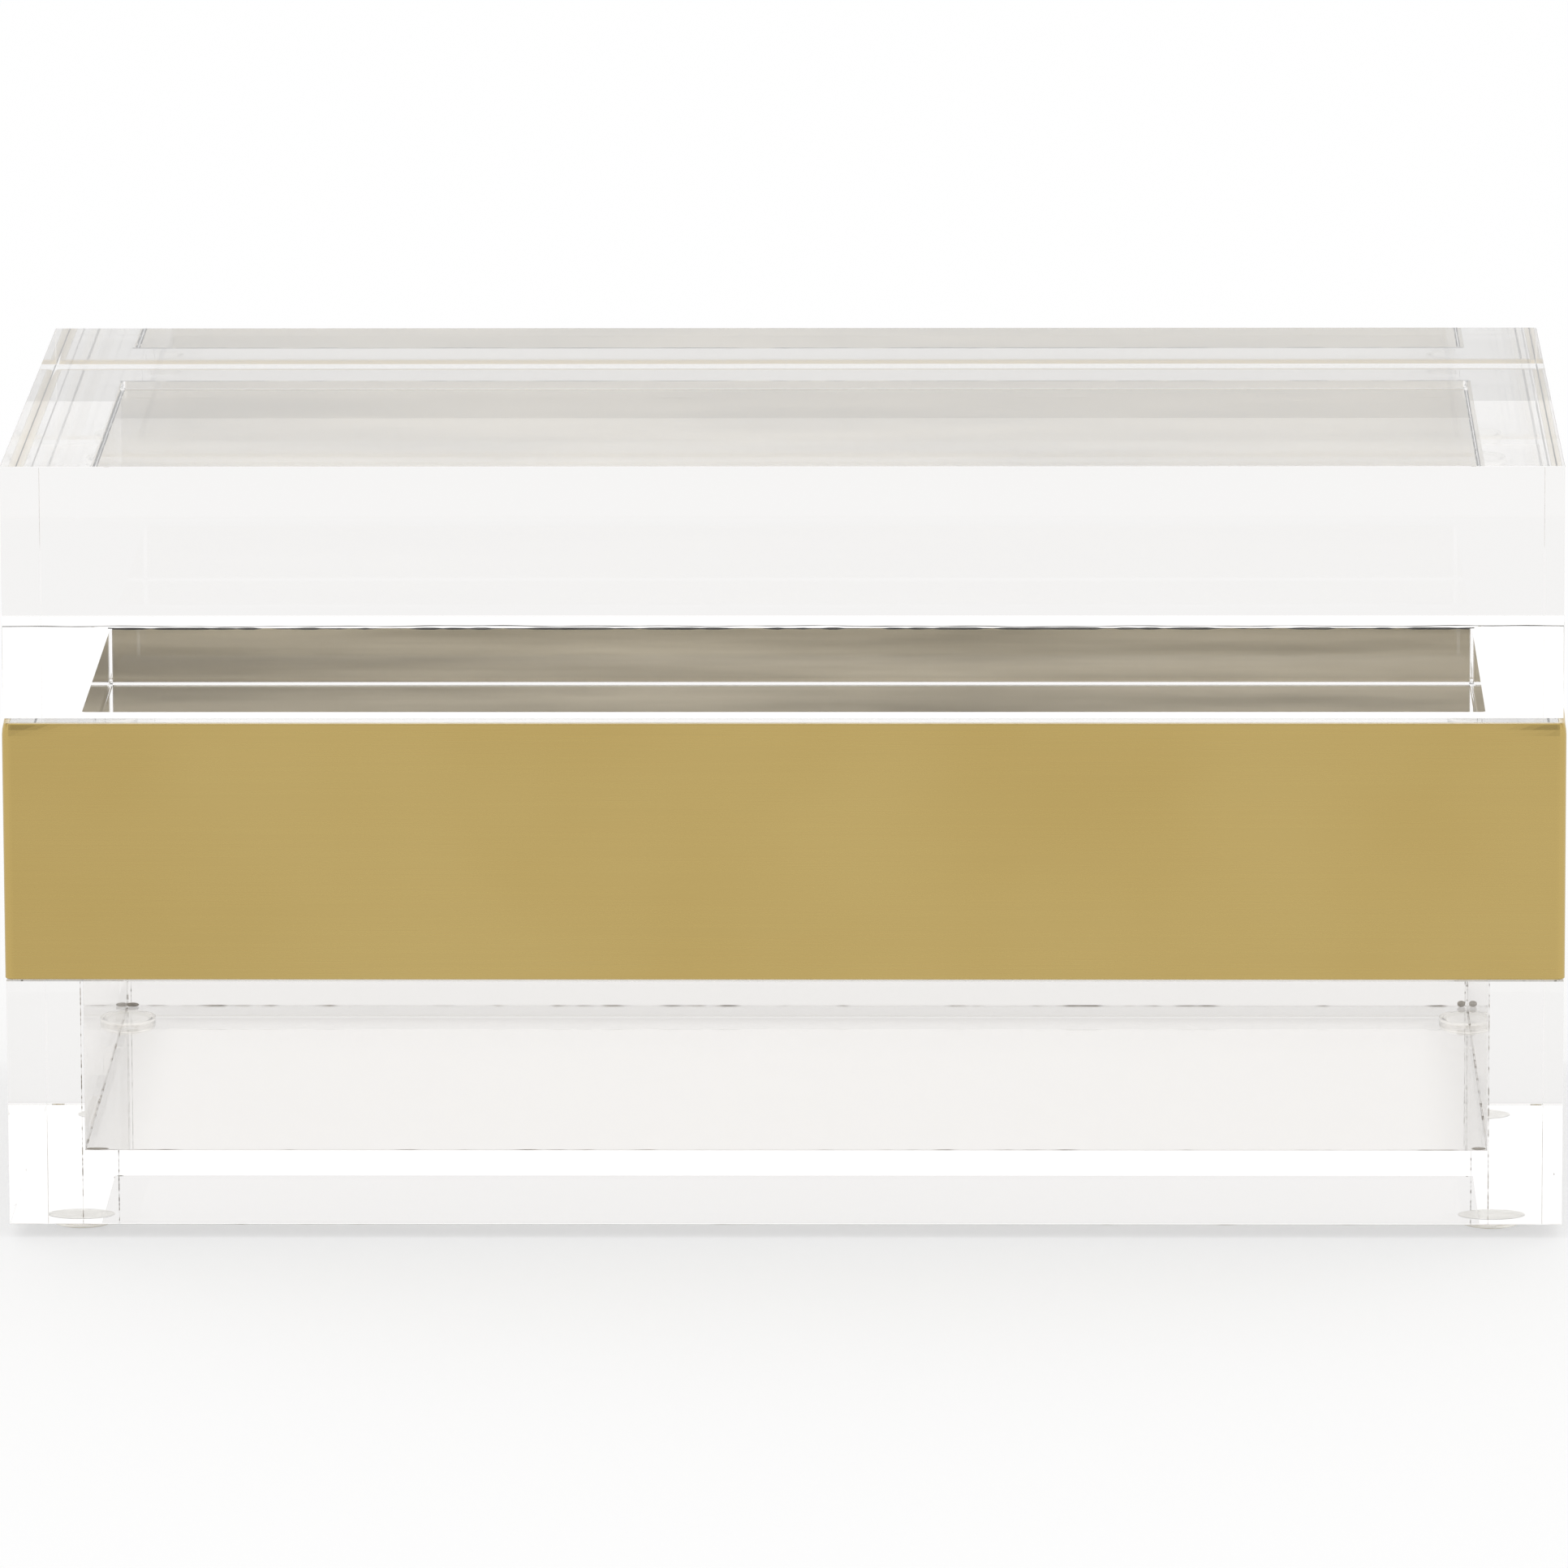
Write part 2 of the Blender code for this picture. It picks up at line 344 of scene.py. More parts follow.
def quarter_round(inset, z, radius, first_quarter, steps=4):
    """A quarter circle in the profile, as rows without their corner radius: the centre, less the radius
    times the cosine across, plus the radius times the sine up. Quarter -1 is the lower edge of a
    block and quarter 0 the upper one."""
    angles = (first_quarter + np.linspace(0, 1, steps + 1)) * QUARTER_TURN
    return [(inset - radius * math.cos(a), z + radius * math.sin(a)) for a in angles]


def with_corner(rows, radius):
    """Gives each row of a profile its corner radius: the radius less how much further in the row lies
    than the outermost one, but never less than the smallest radius."""
    outermost = min(inset for inset, _ in rows)
    return [(inset, z, max(radius - (inset - outermost), SMALLEST_RADIUS)) for inset, z in rows]


print("a loop with 1 step a side has", len(rectangle_loop(1, 1, 0.1, 1)), "points")

# %% [markdown]
# ## From points to a piece
#
# A grid of points turns into a mesh when each point is joined to its neighbours by a quad. The last
# column joins the first, since every loop here closes. Each mesh is then hung on the body it rides on, and
# the CAD nodes it takes the place of are hidden.

# %% From points to a piece
def grid_faces(rows, columns, closed_rows=False, first=0):
    """Quads between the neighbours of a grid whose columns close on themselves. The ends are capped with
    one face each, unless the rows close on themselves too."""
    grid = first + np.arange(rows * columns).reshape(rows, columns)
    lower = grid if closed_rows else grid[:-1]
    upper = np.roll(grid, -1, axis=0) if closed_rows else grid[1:]
    corners = [lower, np.roll(lower, -1, 1), np.roll(upper, -1, 1), upper]
    quads = np.stack(corners, -1).reshape(-1, 4).tolist()
    return quads if closed_rows else quads + [grid[0][::-1].tolist(), grid[-1].tolist()]


def make_mesh(name, points, faces, material, body, slot, nodes=()):
    """Puts points and faces into a mesh, hangs it on its body and hides the CAD nodes it takes the place
    of.
    """
    mesh = bpy.data.meshes.new(name)
    mesh.from_pydata(points.reshape(-1, 3).tolist(), [], faces)
    mesh.materials.append(material)
    piece = bpy.data.objects.new(name, mesh)
    bpy.context.scene.collection.objects.link(piece)
    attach(piece, body)
    if nodes:
        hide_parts(*nodes)
    print(name, len(mesh.vertices), "points", len(mesh.polygons), "faces")
    return piece


print("a closed strip of 2 rows and 8 columns has", len(grid_faces(2, 8)), "faces")

# %% [markdown]
# ## Waviness
#
# A cement line and a dried drip are never straight. The mean of a few sine waves round the piece gives a
# wander that is smooth, closes on itself and is the same at every run. Random numbers would leave a step
# where the loop closes.

# %% Waviness
# The golden angle in radians, which keeps the phases of the waves apart
PHASE_STEP = 2.399


def waviness(share, waves, seed):
    """The mean of sines of the share of the way round. Each wave counts whole turns, so it closes, and
    the mean stays between -1 and 1."""
    turns = np.array(waves)[:, None]
    phases = (np.arange(len(waves)) * PHASE_STEP + seed)[:, None]
    return np.sin(2 * math.pi * turns * share[None, :] + phases).mean(axis=0)


def share_round(loop):
    """How far round a closed loop each point is: the length up to it over the whole length."""
    steps = np.linalg.norm(np.roll(loop, -1, axis=0) - loop, axis=1)
    return np.concatenate([[0], np.cumsum(steps)[:-1]]) / steps.sum()


print("waviness reaches", np.round(waviness(np.linspace(0, 1, 200), (3, 7, 19), 0.5).max(), 2))

# %% [markdown]
# ## Acrylic
#
# Cast acrylic, polished to a clear gloss. Its refractive index is 1.49, and it takes a very slight tint
# from each surface that light passes. Cast sheet is never quite flat or quite clean: a faint haze in
# patches, from handling and wiping, takes the computer-made edge off its reflections. All of it is one
# material, since the photograph shows no difference between the sheets.

# %% Acrylic
ACRYLIC_COLOUR = "FCFBFA"
ACRYLIC_IOR = 1.49
HAZE_SIZE = 30 * MM
HAZE_ROUGHNESS = 0.015
HAZE_PATCHES = {"From_Min": 0.45, "From_Max": 0.75}


def polished_cast_acrylic():
    """Polished cast acrylic: water-clear, with sharp reflections that blur a little in patches."""
    material, tree, shader = new_material("polished_cast_acrylic")
    shader.inputs["Base Color"].default_value = linear(ACRYLIC_COLOUR)
    shader.inputs["Transmission Weight"].default_value = 1.0
    shader.inputs["IOR"].default_value = ACRYLIC_IOR
    place = node(tree, "ShaderNodeTexCoord")["Object"]
    noise = node(tree, "ShaderNodeTexNoise", Vector=place, Scale=1 / HAZE_SIZE, Detail=3.0)["Fac"]
    haze = node(tree, "ShaderNodeMapRange", SMOOTH, Value=noise, **HAZE_PATCHES)[0]
    rough = node(tree, "ShaderNodeMath", MULTIPLY, i0=haze, i1=HAZE_ROUGHNESS)[0]
    tree.links.new(rough, shader.inputs["Roughness"])
    return material


acrylic = polished_cast_acrylic()
print("acrylic of IOR", ACRYLIC_IOR)

# %% [markdown]
# ## The lid's plug
#
# A plate under the lid drops into the tray and keeps the lid in place. Its lower edges are rounded, and
# each shows through the lid as a fine line, because a round edge bends light another way than the flat
# sides next to it.

# %% The lid's plug
plug_low, plug_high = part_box("lid_locating_plug")
PLUG_EDGE = 0.8 * MM
PLUG_END_SHARE = 0.5
PLUG_CORNER = 0.9 * MM
LONG_SIDE_STEPS = 90


def plug_points(bottom_z):
    """From under the plug up its side to the slab, as insets from the plug's own sides. Its ends are
    rounded less than its long edges, so each row is stretched along X: by the half length less a share of
    the inset, over the half length less the inset. The plug is centred on X, so a factor on x does it."""
    rows = [(PLUG_EDGE, plug_low.z)]
    rows += quarter_round(PLUG_EDGE, plug_low.z + PLUG_EDGE, PLUG_EDGE, -1)[1:]
    rows += [(0, bottom_z)]
    points = carry_round(with_corner(rows, PLUG_CORNER), plug_low, plug_high, LONG_SIDE_STEPS)
    half = (plug_high.x - plug_low.x) / 2
    insets = np.array([inset for inset, _ in rows])[:, None]
    points[..., 0] *= (half - insets * PLUG_END_SHARE) / (half - insets)
    return points


plug_length = round((plug_high.x - plug_low.x) / MM, 1)
print("plug of", plug_length, "mm, its edges rounded by", PLUG_EDGE / MM, "mm")

# %% [markdown]
# ## The lid
#
# Two thick slabs and the plug are cemented together and polished as one block. The only sign of the joint
# between the slabs is a fine groove at the front. It is cut into the profile as a shallow V, and its
# height wanders a little. The plug sits a little off the slabs' middle, so the lid lies a few millimetres
# towards the back.

# %% The lid
slab_low, lower_slab_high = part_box("lid_lower_slab")
top_slab_low, slab_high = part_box("lid_top_slab")
seam_z = (lower_slab_high.z + top_slab_low.z) / 2
TOP_EDGE = 0.15 * MM
BOTTOM_EDGE = 0.12 * MM
LID_CORNER = 0.08 * MM
SEAM_DEPTH = 0.12 * MM
SEAM_HALF_HEIGHT = 0.12 * MM
SEAM_WANDER = 0.16 * MM
SEAM_WAVES = (5, 13, 29, 61)
SEAM_SEED = 0.8
SETTLED = 0.25 * MM
ASIDE = 0.2 * MM


def slab_points(bottom_z):
    """Out under the lid, up its side and in at its top. The seam's rows wander up and down. Only the
    front keeps the groove: elsewhere its row is moved to the middle of its neighbours."""
    rows = quarter_round(BOTTOM_EDGE, bottom_z + BOTTOM_EDGE, BOTTOM_EDGE, -1)
    below, groove, above = len(rows), len(rows) + 1, len(rows) + 2
    rows += [(0, seam_z - SEAM_HALF_HEIGHT), (SEAM_DEPTH, seam_z), (0, seam_z + SEAM_HALF_HEIGHT)]
    rows += quarter_round(TOP_EDGE, slab_high.z - TOP_EDGE, TOP_EDGE, 0)
    points = carry_round(with_corner(rows, LID_CORNER), slab_low, slab_high, LONG_SIDE_STEPS)
    wander = SEAM_WANDER * waviness(share_round(points[below]), SEAM_WAVES, SEAM_SEED)
    points[below : above + 1, :, 2] += wander
    rear = points[below, :, 1] > slab_low.y + SEAM_DEPTH * 2
    points[groove, rear] = (points[below, rear] + points[above, rear]) / 2
    return points


def make_lid():
    """One closed block. It lies on the rim, so its underside is lowered to just above it, and it was put
    down a little to the left."""
    bottom_z = slab_low.z - SETTLED
    points = np.concatenate([plug_points(bottom_z), slab_points(bottom_z)])
    points[..., 0] -= ASIDE
    faces = grid_faces(*points.shape[:2])
    nodes = ("lid_top_slab", "lid_lower_slab", "lid_locating_plug")
    make_mesh("lid_bonded", points, faces, acrylic, "lid", "clear_acrylic", nodes)


make_lid()

# %% [markdown]
# ## The tray
#
# Five sheets are cemented into an open tray, and a shallow seat is milled round the top for the brass.
# The profile goes up the side, in at the seat's ledge, up to the rim, over it and down inside. Its two
# ends are closed with one face each: the underside of the tray and the floor inside it.

# %% The tray
tray_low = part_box("wall_left")[0]
right_wall_low, tray_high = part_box("wall_right")
wall_thickness = tray_high.x - right_wall_low.x
cavity_floor_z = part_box("floor_panel")[1].z
band_low, band_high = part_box("brass_band")
BAND_SHEET = 1.2 * MM
SEAT_GAP = 0.1 * MM
LEDGE_GAP = 0.3 * MM
TRAY_EDGE = 0.2 * MM
TRAY_CORNER = 0.08 * MM
INSIDE_CORNER = 0.08 * MM
seat_inset = tray_high.x - (band_high.x - BAND_SHEET) + SEAT_GAP
ledge_z = band_low.z - LEDGE_GAP


def tray_profile():
    """Up the outside from the rounded lower edge to the seat and the rim, then down to the floor."""
    rows = [(TRAY_EDGE, tray_low.z)]
    rows += quarter_round(TRAY_EDGE, tray_low.z + TRAY_EDGE, TRAY_EDGE, -1)[1:]
    rows += [(0, ledge_z), (seat_inset, ledge_z), (seat_inset, tray_high.z)]
    inside = [(wall_thickness, tray_high.z), (wall_thickness, cavity_floor_z)]
    return with_corner(rows, TRAY_CORNER) + [(inset, z, INSIDE_CORNER) for inset, z in inside]


def make_tray():
    """One closed body: the profile carried round the walls."""
    points = carry_round(tray_profile(), tray_low, tray_high)
    faces = grid_faces(*points.shape[:2])
    nodes = ("wall_front", "wall_back", "wall_left", "wall_right", "floor_panel")
    make_mesh("tray_bonded", points, faces, acrylic, "tray", "clear_acrylic", nodes)


make_tray()

# %% [markdown]
# ## Brushed brass
#
# Cartridge brass sheet, brushed along its length: a warm yellow metal whose fine lines spread each
# highlight into a soft sheen. The real lines are far finer than a pixel, so they are drawn coarse enough
# to show. Wide, faint clouds keep the colour from looking printed.
#
# The inner side looks greyer through the wall, as if it were covered with pale glue, and it is made so.
# Glue scatters the light that runs along inside a wall, which a path tracer hardly ever finds, and a
# faint glow stands in for that light. An attribute tells the two sides apart.

# %% Brushed brass
BRASS_COLOURS = ("C4AA69", "C9B070")
GLUE_COLOURS = ("EFE3C4", "FFF8E6")
GLUE_LIGHT = "FFEFC8"
GLUE_GLOW = 0.23
GLUE_ROUGHNESS = 0.5
BRUSH_ROUGHNESS = (0.25, 0.3)
BRUSH_LENGTH = 60 * MM
BRUSH_THICKNESS = 0.7 * MM
CLOUD_SIZE = 45 * MM
GLUE_LENGTH = 70 * MM
GLUE_THICKNESS = 4 * MM
WIDE_SHARES = {"From_Min": 0.2, "From_Max": 0.8}
GLOW_SHARES = {"From_Min": 0.1, "From_Max": 0.9}


def streaks_along(tree, axes, length, thickness):
    """Noise drawn out into streaks round the strip, of this length and thickness. The way along is x
    plus y, which changes evenly on every side."""
    along = node(tree, "ShaderNodeMath", ADD, i0=axes["X"], i1=axes["Y"])[0]
    along = node(tree, "ShaderNodeMath", MULTIPLY, i0=along, i1=1 / length)[0]
    up = node(tree, "ShaderNodeMath", MULTIPLY, i0=axes["Z"], i1=1 / thickness)[0]
    at = node(tree, "ShaderNodeCombineXYZ", X=along, Y=up)[0]
    return node(tree, "ShaderNodeTexNoise", Vector=at, Scale=1.0, Detail=3.0)["Fac"]


def brushed_brass():
    """Brushed cartridge brass: outside, a warm yellow sheen drawn out along the strip, and inside, the
    dull cream of dried glue."""
    material, tree, shader = new_material("brushed_cartridge_brass")
    place = node(tree, "ShaderNodeTexCoord")["Object"]
    axes = node(tree, "ShaderNodeSeparateXYZ", Vector=place)
    inner = node(tree, "ShaderNodeAttribute", {"attribute_name": "inner_side"})["Fac"]
    lines = streaks_along(tree, axes, BRUSH_LENGTH, BRUSH_THICKNESS)
    clouds = node(tree, "ShaderNodeTexNoise", Vector=place, Scale=1 / CLOUD_SIZE, Detail=2.0)["Fac"]
    glue = streaks_along(tree, axes, GLUE_LENGTH, GLUE_THICKNESS)
    shade = node(tree, "ShaderNodeMapRange", SMOOTH, Value=clouds, **WIDE_SHARES)[0]
    first, second = map(linear, BRASS_COLOURS)
    front = node(tree, "ShaderNodeMix", COLOURS, i0=shade, i6=first, i7=second)[2]
    shade = node(tree, "ShaderNodeMapRange", SMOOTH, Value=glue, **WIDE_SHARES)[0]
    first, second = map(linear, GLUE_COLOURS)
    back = node(tree, "ShaderNodeMix", COLOURS, i0=shade, i6=first, i7=second)[2]
    colour = node(tree, "ShaderNodeMix", COLOURS, i0=inner, i6=front, i7=back)[2]
    tree.links.new(colour, shader.inputs["Base Color"])
    metal = node(tree, "ShaderNodeMix", NUMBERS, i0=inner, i2=1.0, i3=0.0)[0]
    tree.links.new(metal, shader.inputs["Metallic"])
    smooth, coarse = BRUSH_ROUGHNESS
    brushed = node(tree, "ShaderNodeMix", NUMBERS, i0=lines, i2=smooth, i3=coarse)[0]
    rough = node(tree, "ShaderNodeMix", NUMBERS, i0=inner, i2=brushed, i3=GLUE_ROUGHNESS)[0]
    tree.links.new(rough, shader.inputs["Roughness"])
    shader.inputs["Emission Color"].default_value = linear(GLUE_LIGHT)
    glow = node(tree, "ShaderNodeMapRange", SMOOTH, Value=glue, **GLOW_SHARES)[0]
    glow = node(tree, "ShaderNodeMath", MULTIPLY, i0=glow, i1=GLUE_GLOW)[0]
    glow = node(tree, "ShaderNodeMath", MULTIPLY, i0=inner, i1=glow)[0]
    tree.links.new(glow, shader.inputs["Emission Strength"])
    return material


brass = brushed_brass()
print("brass lines", BRUSH_THICKNESS / MM, "mm thick")

# %% [markdown]
# ## The brass band
#
# A strip of brass sheet, bent round the tray with tight corners and set in the seat. The photograph shows
# the top edge dark near the corners, as if polishing had rounded it off there. So the metal tips back a
# little at those places and mirrors the dim side of the room. One closed ring holds both of its sides.

# %% The brass band
BAND_CORNER = 1.5 * MM
BAND_EDGE = 0.15 * MM
DUB_DEPTH = 0.4 * MM
DUB_HEIGHT = 2.0 * MM
DUB_REACH = 15.0 * MM
BAND_SIDE_STEPS = 120


def band_profile():
    """The strip's cross-section: up its outer face, over its rounded top edge and down its inner face."""
    outer = [(0, band_low.z + BAND_EDGE), (0, band_high.z - DUB_HEIGHT), (0, band_high.z - DUB_HEIGHT / 2)]
    outer += quarter_round(BAND_EDGE, band_high.z - BAND_EDGE, BAND_EDGE, 0)
    inner = [(BAND_SHEET, band_high.z), (BAND_SHEET, band_low.z)]
    lower = [(BAND_EDGE, band_low.z)]
    return [(inset, z, BAND_CORNER - inset) for inset, z in outer + inner + lower]


def dub_corners(points):
    """Tips the outer face back near its top: by the depth, times how near the height is to the top, times
    how near the place is to a corner, both squared."""
    middle = (band_low + band_high) / 2
    across = points[..., 1] - middle.y
    corner_gap = np.minimum(band_high.x - np.abs(points[..., 0]), DUB_REACH)
    side_gap = np.minimum(band_high.y - middle.y - np.abs(across), DUB_REACH)
    nearness = 1 - np.maximum(corner_gap, side_gap) / DUB_REACH
    rise = np.clip((points[..., 2] - (band_high.z - DUB_HEIGHT)) / DUB_HEIGHT, 0, 1)
    back = DUB_DEPTH * nearness ** 2 * rise ** 2
    on_long_side = side_gap < corner_gap
    points[..., 1] -= np.sign(across) * back * on_long_side
    points[..., 0] -= np.sign(points[..., 0]) * back * ~on_long_side


def make_band():
    """One closed ring. Its points on the inner side are marked 1 and all others 0."""
    profile = band_profile()
    points = carry_round(profile, band_low, band_high, BAND_SIDE_STEPS)
    outer_rows = [row for row, (inset, _, _) in enumerate(profile) if inset < BAND_SHEET]
    outer = points[outer_rows]
    dub_corners(outer)
    points[outer_rows] = outer
    faces = grid_faces(*points.shape[:2], closed_rows=True)
    piece = make_mesh("brass_band_sheet", points, faces, brass, "tray", "brushed_brass", ("brass_band",))
    inner = np.array([float(inset == BAND_SHEET) for inset, _, _ in profile])
    marks = np.broadcast_to(inner[:, None], points.shape[:2]).ravel()
    piece.data.attributes.new("inner_side", "FLOAT", "POINT").data.foreach_set("value", marks)


make_band()

# %% [markdown]
# ## The feet
#
# Clear stick-on bumpers keep the box off the table. They are moulded silicone, softer and hazier than the
# acrylic. Each is a low turned shape: a flat, a rounded edge and a straight side. Their glue leaves no air
# between them and the tray, so each reaches a hair's breadth into it: with air between them, they would
# show through the floor as bright discs. A turned shape is the simplest surface of all: a profile of
# radius and height carried round a circle.

# %% The feet
SILICONE_COLOUR = "F8F6F0"
SILICONE_IOR = 1.41
SILICONE_ROUGHNESS = (0.05, 0.25)
SILICONE_HAZE_SIZE = 1.5 * MM
FOOT_STEPS = 48
FOOT_ROUND_STEPS = 8
FOOT_FLAT_SHARE = 0.77
FOOT_ROUND_SHARE = 0.6
FOOT_SINK = 0.02 * MM
FOOT_SHARP_ANGLE = 50


def clear_silicone():
    """Clear moulded silicone: see-through, but with a soft, uneven haze on its surface."""
    material, tree, shader = new_material("clear_moulded_silicone")
    shader.inputs["Base Color"].default_value = linear(SILICONE_COLOUR)
    shader.inputs["Transmission Weight"].default_value = 1.0
    shader.inputs["IOR"].default_value = SILICONE_IOR
    place = node(tree, "ShaderNodeTexCoord")["Object"]
    noise = {"Vector": place, "Scale": 1 / SILICONE_HAZE_SIZE, "Detail": 2.0}
    haze = node(tree, "ShaderNodeTexNoise", **noise)["Fac"]
    clear, hazy = SILICONE_ROUGHNESS
    rough = node(tree, "ShaderNodeMix", NUMBERS, i0=haze, i2=clear, i3=hazy)[0]
    tree.links.new(rough, shader.inputs["Roughness"])
    return material


silicone = clear_silicone()


def make_foot(name):
    """The foot's radius follows a quarter ellipse from the flat to the full width, then stays, and each
    point is the foot's middle plus the radius times the cosine and sine of the way round."""
    low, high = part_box(name)
    radius = (high.x - low.x) / 2
    turn = np.linspace(0, QUARTER_TURN, FOOT_ROUND_STEPS + 1)
    radii = radius * (FOOT_FLAT_SHARE + (1 - FOOT_FLAT_SHARE) * np.sin(turn))
    heights = low.z + (high.z - low.z) * FOOT_ROUND_SHARE * (1 - np.cos(turn))
    radii = np.append(radii, radius)
    heights = np.append(heights, tray_low.z + FOOT_SINK)
    angle = np.linspace(0, 2 * math.pi, FOOT_STEPS, endpoint=False)
    x = (low.x + high.x) / 2 + radii[:, None] * np.cos(angle)
    y = (low.y + high.y) / 2 + radii[:, None] * np.sin(angle)
    points = np.dstack([x, y, np.broadcast_to(heights[:, None], x.shape)])
    faces = grid_faces(*points.shape[:2])
    piece_name = name.replace("foot", "bumper")
    piece = make_mesh(piece_name, points, faces, silicone, "tray", "clear_silicone", (name,))
    piece.data.shade_smooth()
    piece.data.set_sharp_from_angle(angle=math.radians(FOOT_SHARP_ANGLE))


for row in ("front", "back"):
    for side in ("left", "right"):
        make_foot(f"foot_{row}_{side}")

# %% [markdown]
# ## Dried cement
#
# Thin solvent cement is run into the joints with a needle, and it leaves marks: a fine brownish thread
# along each joint and a few beads at the corners where it gathered. They are small, but without them the
# box would look like a drawing of glass. Dried cement is a dull, brownish film, paler where it is thin. The
# lid's cement is drawn in dark greys, and in the lid's groove that dark grey is painted shade.

# %% Dried cement
CEMENT_COLOURS = ("D9D2C6", "A2988A")
# Dark greys for the lid's cement: in the lid's groove this grey is painted shade
DARK_CEMENT_AND_SHADE_COLOURS = ("6E6C66", "3E3D3A")
CEMENT_PATCH = 4 * MM
CEMENT_PATCHES = {"From_Min": 0.35, "From_Max": 0.65}
CEMENT_ROUGHNESS = 0.55


def dried_cement_and_shade(name, light, dark):
    """Dried solvent cement: a dull film in paler and darker patches, with hardly any shine. In dark greys
    it also draws the painted shade in the lid's groove.
    """
    material, tree, shader = new_material(name)
    place = node(tree, "ShaderNodeTexCoord")["Object"]
    noise = node(tree, "ShaderNodeTexNoise", Vector=place, Scale=1 / CEMENT_PATCH, Detail=2.0)["Fac"]
    share = node(tree, "ShaderNodeMapRange", SMOOTH, Value=noise, **CEMENT_PATCHES)[0]
    colour = node(tree, "ShaderNodeMix", COLOURS, i0=share, i6=linear(light), i7=linear(dark))[2]
    tree.links.new(colour, shader.inputs["Base Color"])
    shader.inputs["Roughness"].default_value = CEMENT_ROUGHNESS
    return material


brown_cement = dried_cement_and_shade("dried_cement_and_shade", *CEMENT_COLOURS)
# The lid's cement: along its groove the dark grey is painted shade
dark_cement_and_shade = dried_cement_and_shade("dark_cement_and_shade", *DARK_CEMENT_AND_SHADE_COLOURS)
print("cement in patches of", CEMENT_PATCH / MM, "mm")

# %% [markdown]
# ## Threads and beads
#
# Each thread is a tube whose thickness swells and fades along its length, so it reads as a broken line.
# Separate short tubes would look more regular and need more faces. A bead is the same tube, short and
# squashed.

# %% Threads and beads
THREAD_SIDES = 6
THREAD_STEPS = 160
THREAD_WAVES = (3, 11, 23, 47)
THREAD_SWELL = 1.6
THINNEST = 0.012 * MM
BEAD_STEPS = 24
BEAD_REACH = 0.995
STEEP = 0.9


def tube(path, radii):
    """Rings round a path: each is the path's point plus the radius times the cosine and sine of an angle,
    along two directions square to the path. The first of them is square to a helper too, which is Z, or X
    where the path itself is nearly upright."""
    ahead = np.roll(path, -1, axis=0) - np.roll(path, 1, axis=0)
    ahead[0] = path[1] - path[0]
    ahead[-1] = path[-1] - path[-2]
    ahead /= np.linalg.norm(ahead, axis=1)[:, None]
    helper = np.where(np.abs(ahead[:, 2:]) > STEEP, (1.0, 0.0, 0.0), (0.0, 0.0, 1.0))
    first = np.cross(ahead, helper)
    first /= np.linalg.norm(first, axis=1)[:, None]
    second = np.cross(ahead, first)
    angle = np.linspace(0, 2 * math.pi, THREAD_SIDES, endpoint=False)[None, :, None]
    spread = np.cos(angle) * first[:, None, :] + np.sin(angle) * second[:, None, :]
    return path[:, None, :] + radii[:, None, None] * spread


def thread(start, end, radius, seed, broken=0.5):
    """A straight tube whose radius goes with the mean of sines and never falls below a hair's breadth.
    The more broken it is, the more of it is that thin."""
    share = np.linspace(0, 1, THREAD_STEPS)
    swell = waviness(share, THREAD_WAVES, seed) * THREAD_SWELL + 1 - 2 * broken
    radii = np.maximum(radius * np.clip(swell, 0, 1), THINNEST)
    start, end = np.array(start), np.array(end)
    return tube(start + (end - start) * share[:, None], radii)


def bead(centre, half_sizes):
    """A squashed ball as a tube: its radius is the square root of one less the share along X squared. Its
    ends stop just short of a point, so that their faces keep an area."""
    share = np.linspace(-BEAD_REACH, BEAD_REACH, BEAD_STEPS)
    path = np.array(centre) + share[:, None] * np.array([half_sizes[0], 0, 0])
    ring = tube(path, np.sqrt(1 - share ** 2))
    offset = ring - path[:, None, :]
    return path[:, None, :] + offset * np.array([1, half_sizes[1], half_sizes[2]])


def join_grids(grids):
    """One list of points and one of faces for many tubes."""
    points, faces, first = [], [], 0
    for grid in grids:
        points.append(grid.reshape(-1, 3))
        faces += grid_faces(*grid.shape[:2], first=first)
        first += grid.shape[0] * grid.shape[1]
    return np.concatenate(points), faces


print("a thread has", THREAD_SIDES * THREAD_STEPS, "points")

# %% [markdown]
# ## Cement in the tray
#
# Threads run along the joints of the floor, along the front's lower edge, down the corners at the back and
# down the ends of the side walls, and a bead sits in each corner of the floor. Inside, they lie on the air
# side of the plastic, as real cement that has run out of a joint does. The seeds only make the threads
# differ from each other.

# %% Cement in the tray
LIE_OFF = 0.1 * MM
BACK_THREAD = 0.11 * MM
FRONT_THREAD = 0.07 * MM
LOWER_EDGE_THREAD = 0.05 * MM
SIDE_THREAD = 0.09 * MM
# Each bead: its side, whether it is at the back, the place of its middle from the corner, and its half
# sizes, both in mm. The place along X counts towards the middle of the box.
BEADS = (
    (-1, True, (0.8, -0.3, 0.2), (1.1, 0.3, 0.4)),
    (1, True, (0.9, -0.3, 0.4), (0.7, 0.3, 0.6)),
    (-1, False, (1.9, 0.2, 0.1), (1.9, 0.2, 0.2)),
    (1, False, (1.3, 0.2, 0.2), (1.2, 0.2, 0.25)),
)


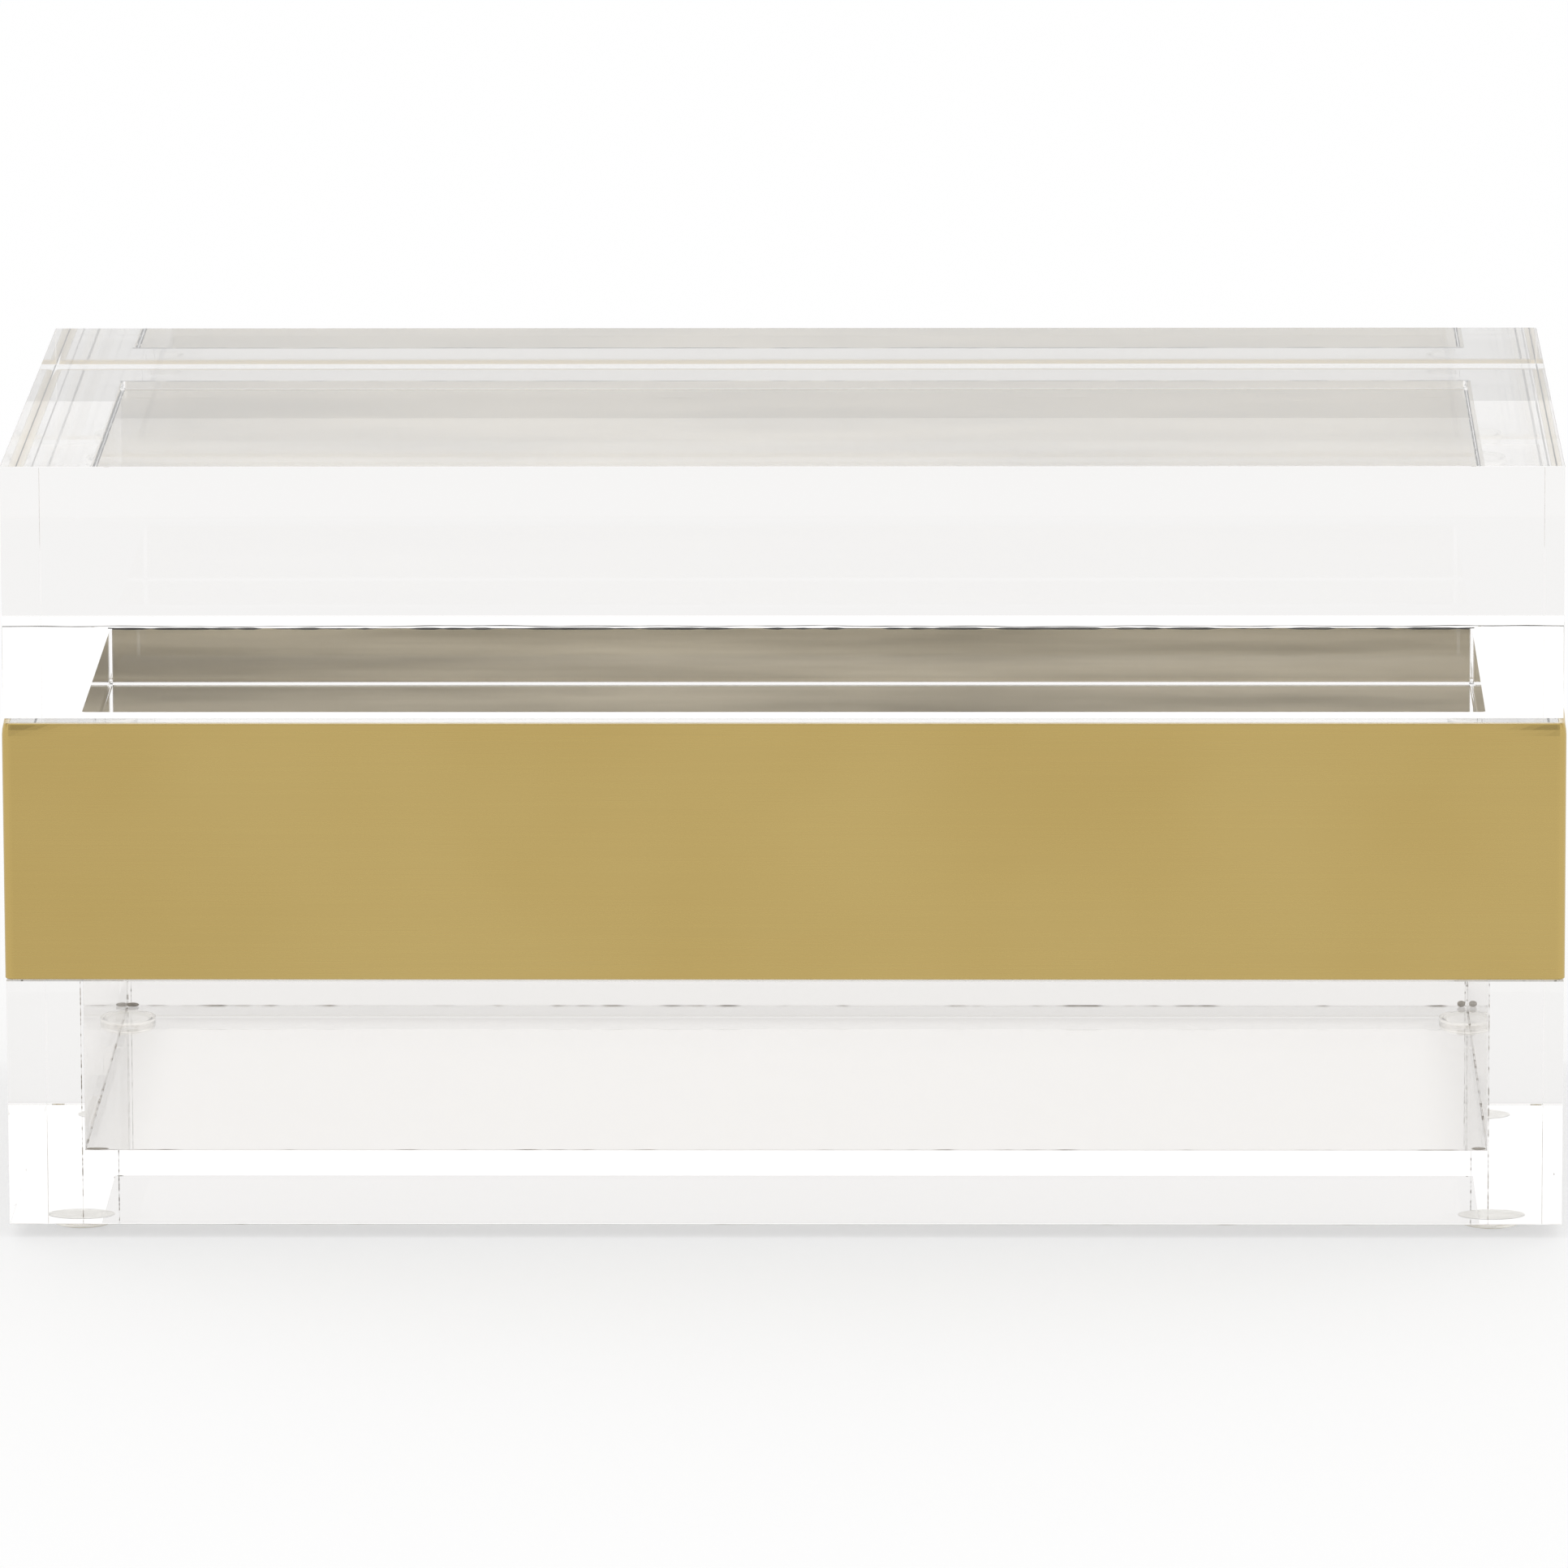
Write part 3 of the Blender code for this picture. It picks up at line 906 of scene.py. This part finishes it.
def tray_cement():
    """Threads run from corner to corner of the inside and of the outside, and each bead's place is
    counted from a corner."""
    x = tray_high.x - wall_thickness - LIE_OFF
    y = (tray_high.y - tray_low.y) / 2 - wall_thickness - LIE_OFF
    middle_y = (tray_low.y + tray_high.y) / 2
    back, front = middle_y + y, middle_y - y
    face, rear, under = tray_low.y, tray_high.y, tray_low.z
    floor = cavity_floor_z + LIE_OFF
    grids = [
        thread((-x, back, floor), (x, back, floor), BACK_THREAD, seed=0.4, broken=0.5),
        thread((-x, front, floor), (x, front, floor), FRONT_THREAD, seed=1.7, broken=0.55),
        thread((-x, face, under), (x, face, under), LOWER_EDGE_THREAD, seed=5.2, broken=0.7),
    ]
    # Each thread on a side: the y and z of its start and of its end, its seed and how broken it is
    side_threads = (
        ((front, floor), (back, floor), 2, 0.5),
        ((back, floor), (back, ledge_z), 3, 0.4),
        ((face, under), (face, ledge_z), 4, 0.3),
        ((rear, under), (rear, ledge_z), 6, 0.3),
    )
    for side in (-1, 1):
        for start, end, seed, broken in side_threads:
            ends = (side * x, *start), (side * x, *end)
            grids.append(thread(*ends, SIDE_THREAD, seed + side, broken))
    for side, at_back, place, half_sizes in BEADS:
        inwards, across, up = np.array(place) * MM
        centre = (side * (x - inwards), (back if at_back else front) + across, floor + up)
        grids.append(bead(centre, np.array(half_sizes) * MM))
    return join_grids(grids)


make_mesh("tray_cement", *tray_cement(), brown_cement, "tray", "clear_acrylic")

# %% [markdown]
# ## Cement in the lid
#
# A dark thread lies in the groove at the front and follows its wander, so it has to know which part of
# the way round the front is. Its dark grey is painted shade, the shade that falls in the groove. Two more
# lie along the plug's back and front top edges, where the plug meets the slab.

# %% Cement in the lid
SEAM_STEPS = 160
SEAM_THREAD_SHARE = 0.4
SEAM_THREAD_SWELL = 0.3
SEAM_THREAD_WAVES = (3, 17, 41)
SEAM_THREAD_SEED = 2.0
PLUG_BACK_THREAD = 0.2 * MM
PLUG_FRONT_THREAD = 0.06 * MM
PLUG_THREAD_OVERHANG = 0.4 * MM


def seam_share():
    """Where on the way round the lid its front side starts, from the left, and how long it is, as shares.
    The loop starts behind on the right, so the back and the left side come first."""
    size = slab_high - slab_low
    round_trip = 2 * (size.x + size.y)
    return (size.x + size.y) / round_trip, size.x / round_trip


def lid_cement_and_shade():
    """The seam's thread is a tube along the groove's own wander. Its radius is the groove's depth times a
    share that swells and shrinks."""
    x = slab_high.x - LID_CORNER
    share = np.linspace(0, 1, SEAM_STEPS)
    along = np.linspace(-x, x, SEAM_STEPS) - ASIDE
    start, side = seam_share()
    heights = seam_z + SEAM_WANDER * waviness(start + share * side, SEAM_WAVES, SEAM_SEED)
    path = np.column_stack([along, np.full(SEAM_STEPS, slab_low.y + SEAM_DEPTH / 2), heights])
    swell = SEAM_THREAD_SWELL * waviness(share, SEAM_THREAD_WAVES, SEAM_THREAD_SEED)
    # The groove's thread: its dark grey is painted shade in the groove
    grids = [tube(path, SEAM_DEPTH * (SEAM_THREAD_SHARE + swell))]
    z = slab_low.z - SETTLED - LIE_OFF
    back, front = plug_high.y + LIE_OFF, plug_low.y - LIE_OFF
    left, right = plug_low.x - ASIDE, plug_high.x - ASIDE
    ends = (left - PLUG_THREAD_OVERHANG, back, z), (right + PLUG_THREAD_OVERHANG, back, z)
    grids.append(thread(*ends, PLUG_BACK_THREAD, seed=1.1, broken=0.1))
    grids.append(thread((left, front, z), (right, front, z), PLUG_FRONT_THREAD, seed=2.6, broken=0.5))
    return join_grids(grids)


make_mesh("lid_cement_and_shade", *lid_cement_and_shade(), dark_cement_and_shade, "lid", "clear_acrylic")
